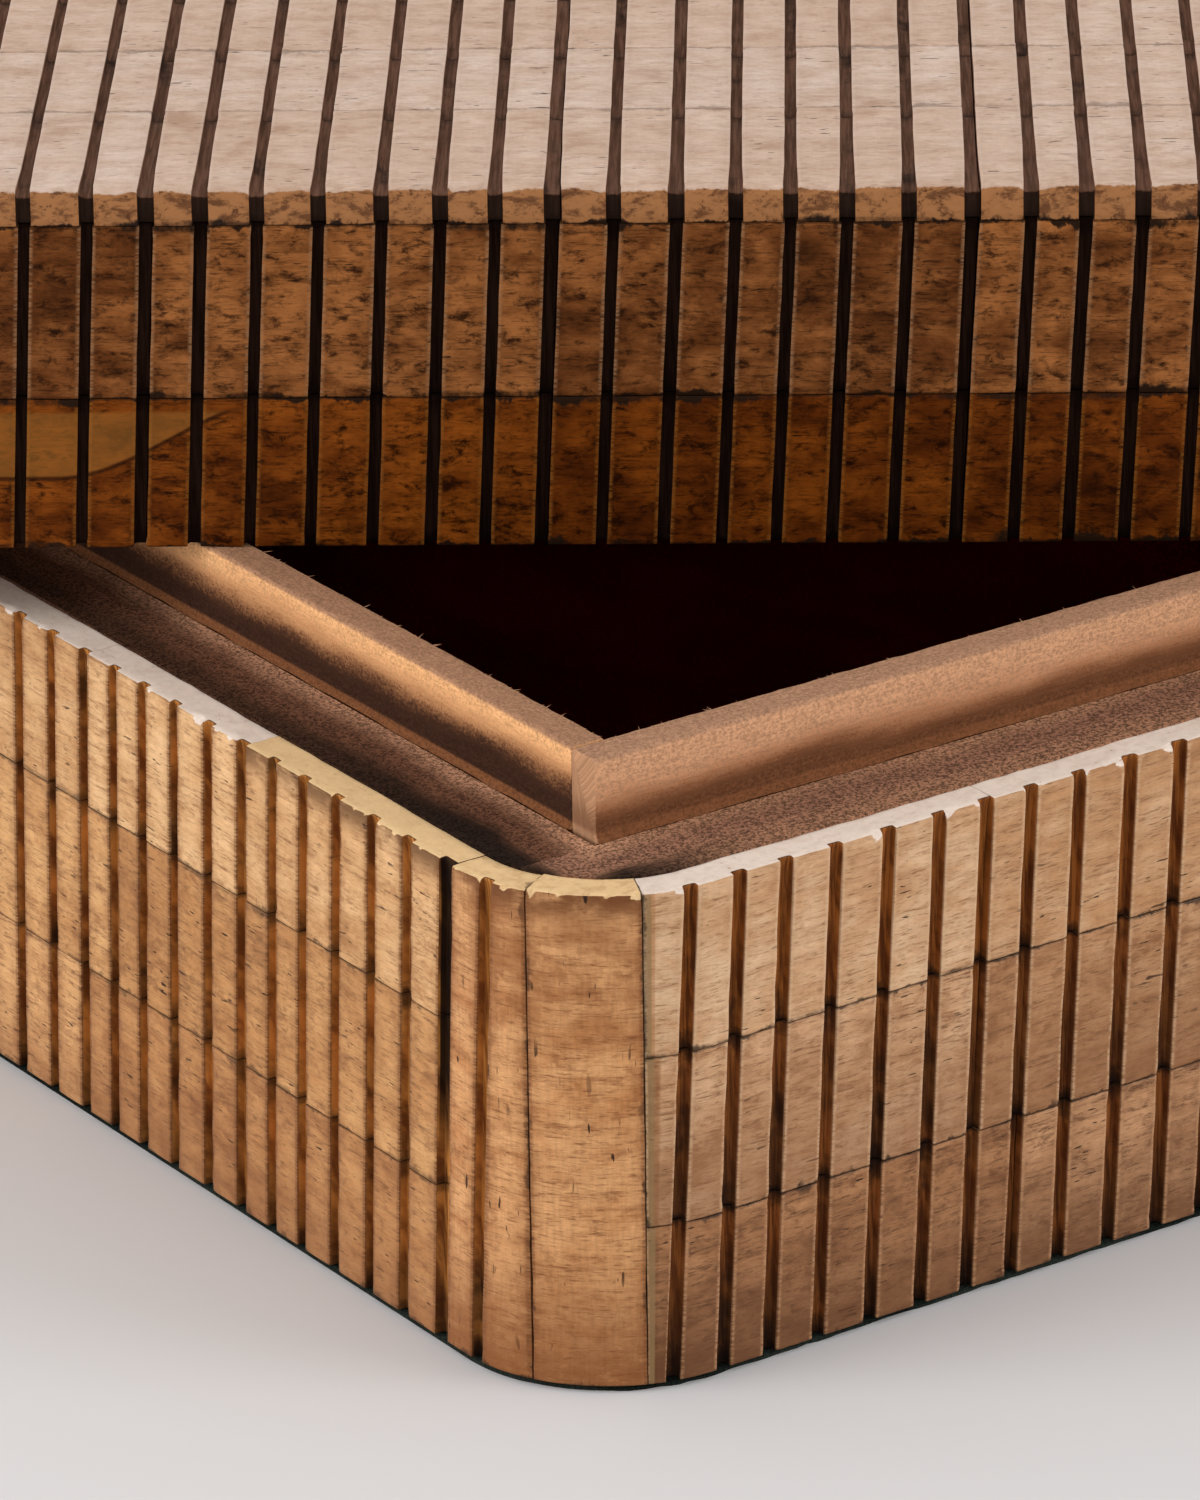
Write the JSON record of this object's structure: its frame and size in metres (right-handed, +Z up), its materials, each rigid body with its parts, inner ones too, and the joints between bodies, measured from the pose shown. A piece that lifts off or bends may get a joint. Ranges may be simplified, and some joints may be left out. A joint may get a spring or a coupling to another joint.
{
  "type": "tambour lid box",
  "caption": "Rectangular keepsake box with rounded corners and a lift-off lid, both clad in kerfed bone tiles like a tambour, the lid lying askew on the raised inner lip.",
  "frame": {"origin": "centre of the base's underside, on the surface that it stands on", "axes": "+X along the base's length, +Y from the front wall to the back wall, +Z up"},
  "size_m": [0.3218, 0.3008, 0.0853],
  "materials": {
    "bone_tiles": "smoke-stained camel bone, waxed, kerfs stained dark brown",
    "carcase_wood": "light softwood, scorched dark brown on the ledge",
    "lip_wood": "raw sawn strip, sprayed darker towards its foot",
    "velvet": "very dark red-brown velvet",
    "foot_felt": "dark green-black felt"
  },
  "bodies": {
    "base": {"base_bone_back_lower": "bone_tiles", "base_bone_back_middle": "bone_tiles", "base_bone_back_upper": "bone_tiles", "base_bone_corners_left": "bone_tiles", "base_bone_corners_right": "bone_tiles", "base_bone_front_lower": "bone_tiles", "base_bone_front_middle": "bone_tiles", "base_bone_front_upper": "bone_tiles", "base_bone_left_lower": "bone_tiles", "base_bone_left_middle": "bone_tiles", "base_bone_left_upper": "bone_tiles", "base_bone_right_lower": "bone_tiles", "base_bone_right_middle": "bone_tiles", "base_bone_right_upper": "bone_tiles", "base_bottom_board": "carcase_wood", "base_core_back": "carcase_wood", "base_core_front": "carcase_wood", "base_core_left": "carcase_wood", "base_core_right": "carcase_wood", "base_floor_pad": "velvet", "base_foot_felt": "foot_felt", "base_lip_back": "lip_wood", "base_lip_front": "lip_wood", "base_lip_left": "lip_wood", "base_lip_right": "lip_wood"},
    "lid": {"lid_bone_back": "bone_tiles", "lid_bone_corners_left": "bone_tiles", "lid_bone_corners_right": "bone_tiles", "lid_bone_front": "bone_tiles", "lid_bone_left": "bone_tiles", "lid_bone_right": "bone_tiles", "lid_bone_top": "bone_tiles", "lid_core_back": "carcase_wood", "lid_core_front": "carcase_wood", "lid_core_left": "carcase_wood", "lid_core_right": "carcase_wood", "lid_lining": "velvet", "lid_top_board": "carcase_wood"}
  },
  "joints": [
    {"name": "lid_lift", "type": "slide", "parent": "base", "child": "lid", "axis": [0, 0, 1], "range_m": [0, 0.12]}
  ]
}
